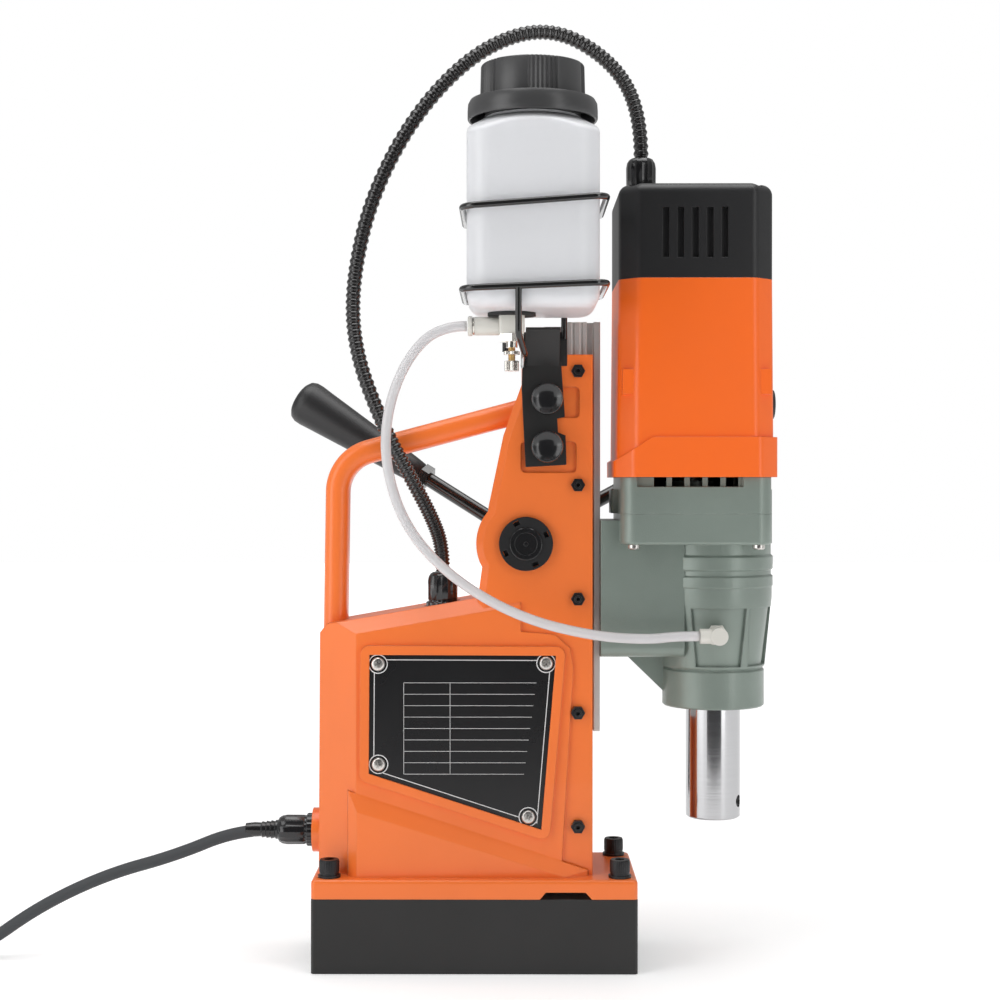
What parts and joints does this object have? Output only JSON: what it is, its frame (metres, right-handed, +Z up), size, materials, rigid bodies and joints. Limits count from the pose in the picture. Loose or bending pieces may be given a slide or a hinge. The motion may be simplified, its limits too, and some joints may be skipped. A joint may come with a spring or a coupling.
{
  "type": "magnetic drill press",
  "caption": "Electromagnet-footed drill press: cast frame with carrying handle, rack-fed motor head, capstan levers, coolant bottle and hose, mains cord.",
  "frame": {"origin": "centre of the magnet's pole face, on the surface it grips", "axes": "+Z up, away from the work; +X from the frame towards the spindle; +Y towards the capstan levers"},
  "size_m": [0.658, 0.2264, 0.6189],
  "materials": {
    "magnet_black": "satin black paint",
    "coil_resin": "potting resin",
    "black_oxide": "black oxide",
    "zinc": "zinc plate",
    "orange_paint": "fine textured powder coat",
    "plate_black": "black anodised, satin",
    "panel_black": "fine texture",
    "switch_red": "gloss",
    "button_green": "gloss",
    "button_red": "gloss",
    "slide_aluminium": "milled, clear anodised",
    "rack_steel": "milled",
    "gib_brass": "milled",
    "bush_black": "moulded nylon",
    "shaft_steel": "ground",
    "hub_black": "satin",
    "lever_chrome": "black oxide, oiled",
    "grip_plastic": "satin",
    "gear_case_grey": "hammered grey-green paint",
    "orange_plastic": "satin moulded",
    "cap_plastic": "fine texture",
    "dial_plastic": "satin",
    "core_steel": "lamination stack",
    "brush_brass": "plain",
    "bearing_steel": "ground",
    "copper": "turned copper",
    "fan_plastic": "moulded",
    "gear_steel": "hobbed",
    "spindle_chrome": "ground and polished",
    "gland_nylon": "moulded nylon",
    "fitting_white": "moulded",
    "bottle_plastic": "translucent polyethylene",
    "bottle_cap_plastic": "satin",
    "gasket_rubber": "matte",
    "valve_nickel": "white body with a nickel nut",
    "knob_brass": "nickelled brass",
    "wire_black": "gloss dip",
    "bracket_black": "satin",
    "conduit_plastic": "corrugated polyamide",
    "hose_clear": "translucent tube",
    "cord_rubber": "matte",
    "plug_rubber": "moulded",
    "blade_brass": "nickelled"
  },
  "bodies": {
    "frame": {"magnet_housing": "magnet_black", "potted_coil": "coil_resin", "base_bolts": "black_oxide", "base_washers": "black_oxide", "frame_casting": "orange_paint", "name_plate": "plate_black", "name_plate_screws": "zinc", "control_panel": "panel_black", "gib_strip": "gib_brass", "gib_screws": "black_oxide", "gib_nuts": "black_oxide", "shaft_bushes": "bush_black", "bottle_bracket": "bracket_black", "bottle_cradle": "wire_black", "coolant_bottle": "bottle_plastic", "bottle_gasket": "gasket_rubber", "valve_body": "valve_nickel", "bottle_hose_fitting": "fitting_white", "frame_conduit_gland": "gland_nylon", "cord_gland": "gland_nylon", "conduit": "conduit_plastic", "coolant_hose": "hose_clear", "power_cord": "cord_rubber", "power_cord_coil": "cord_rubber", "plug_body": "plug_rubber", "plug_blades": "blade_brass"},
    "head": {"slide_rail": "slide_aluminium", "feed_rack": "rack_steel", "gear_case": "gear_case_grey", "gear_case_cover": "gear_case_grey", "gear_case_screws": "zinc", "motor_housing": "orange_plastic", "motor_cap": "cap_plastic", "motor_cap_screws": "zinc", "motor_stator": "core_steel", "brush_holders": "brush_brass", "motor_bearings": "bearing_steel", "spindle_bearings": "bearing_steel", "motor_conduit_gland": "gland_nylon", "spindle_hose_fitting": "fitting_white"},
    "feed_shaft": {"pinion_shaft": "shaft_steel", "lever_hub": "hub_black", "lever_rods": "lever_chrome", "lever_grips": "grip_plastic"},
    "armature": {"armature": "core_steel", "commutator": "copper", "cooling_fan": "fan_plastic"},
    "gear_1": {"gear_shaft_1": "gear_steel"},
    "gear_2": {"gear_shaft_2": "gear_steel"},
    "spindle": {"spindle": "spindle_chrome", "arbor_set_screws": "black_oxide", "spindle_gear": "gear_steel"},
    "dial": {"speed_dial": "dial_plastic"},
    "rocker": {"magnet_switch": "switch_red"},
    "start": {"start_button": "button_green"},
    "stop": {"stop_button": "button_red"},
    "cap": {"bottle_cap": "bottle_cap_plastic"},
    "valve": {"valve_knob": "knob_brass"},
    "upper_knob": {"bracket_knob_upper": "grip_plastic"},
    "lower_knob": {"bracket_knob_lower": "grip_plastic"}
  },
  "joints": [
    {"name": "head_feed", "type": "slide", "parent": "frame", "child": "head", "axis": [0, 0, 1], "range_m": [-0.092, 0.118], "deforming": ["conduit", "coolant_hose"]},
    {"name": "feed_turn", "type": "hinge", "parent": "frame", "child": "feed_shaft", "pos_m": [0.0333, 0, 0.2758], "axis": [0, 1, 0], "range_deg": [-505, 395]},
    {"name": "motor_turn", "type": "hinge", "parent": "head", "child": "armature", "pos_m": [0.1423, 0, 0.4], "axis": [0, 0, 1], "continuous": true},
    {"name": "gear_1_turn", "type": "hinge", "parent": "head", "child": "gear_1", "pos_m": [0.1303, -0.02193, 0.3], "axis": [0, 0, 1], "continuous": true},
    {"name": "gear_2_turn", "type": "hinge", "parent": "head", "child": "gear_2", "pos_m": [0.12554, 0.0016, 0.29], "axis": [0, 0, 1], "continuous": true},
    {"name": "spindle_turn", "type": "hinge", "parent": "head", "child": "spindle", "pos_m": [0.158, 0, 0.2], "axis": [0, 0, 1], "continuous": true},
    {"name": "dial_turn", "type": "hinge", "parent": "head", "child": "dial", "pos_m": [0.192, -0.008, 0.367], "axis": [1, 0, 0], "range_deg": [0, 270]},
    {"name": "rocker_tilt", "type": "hinge", "parent": "frame", "child": "rocker", "pos_m": [-0.058, 0.034, 0.165], "axis": [1, 0, 0], "range_deg": [0, 24]},
    {"name": "start_press", "type": "slide", "parent": "frame", "child": "start", "axis": [0, -1, 0], "range_m": [0, 0.003], "stiffness_N_per_m": 300, "springref_m": -0.001},
    {"name": "stop_press", "type": "slide", "parent": "frame", "child": "stop", "axis": [0, -1, 0], "range_m": [0, 0.003], "stiffness_N_per_m": 300, "springref_m": -0.001},
    {"name": "cap_turn", "type": "hinge", "parent": "frame", "child": "cap", "pos_m": [0.037, -0.075, 0.56], "axis": [0, 0, 1], "range_deg": [0, 450]},
    {"name": "valve_turn", "type": "hinge", "parent": "frame", "child": "valve", "pos_m": [0.024, -0.075, 0.39], "axis": [0, 0, 1], "range_deg": [-360, 720]},
    {"name": "upper_knob_turn", "type": "hinge", "parent": "frame", "child": "upper_knob", "pos_m": [0.0468, -0.04, 0.3694], "axis": [0, -1, 0], "range_deg": [0, 720]},
    {"name": "lower_knob_turn", "type": "hinge", "parent": "frame", "child": "lower_knob", "pos_m": [0.0468, -0.04, 0.3386], "axis": [0, -1, 0], "range_deg": [0, 720]}
  ],
  "couplings": [
    {"joint": "feed_turn", "follows": "head_feed", "rad_per_m": -74.074},
    {"joint": "gear_1_turn", "follows": "motor_turn", "ratio": -0.31579},
    {"joint": "gear_2_turn", "follows": "motor_turn", "ratio": 0.10526},
    {"joint": "spindle_turn", "follows": "motor_turn", "ratio": -0.031579}
  ]
}
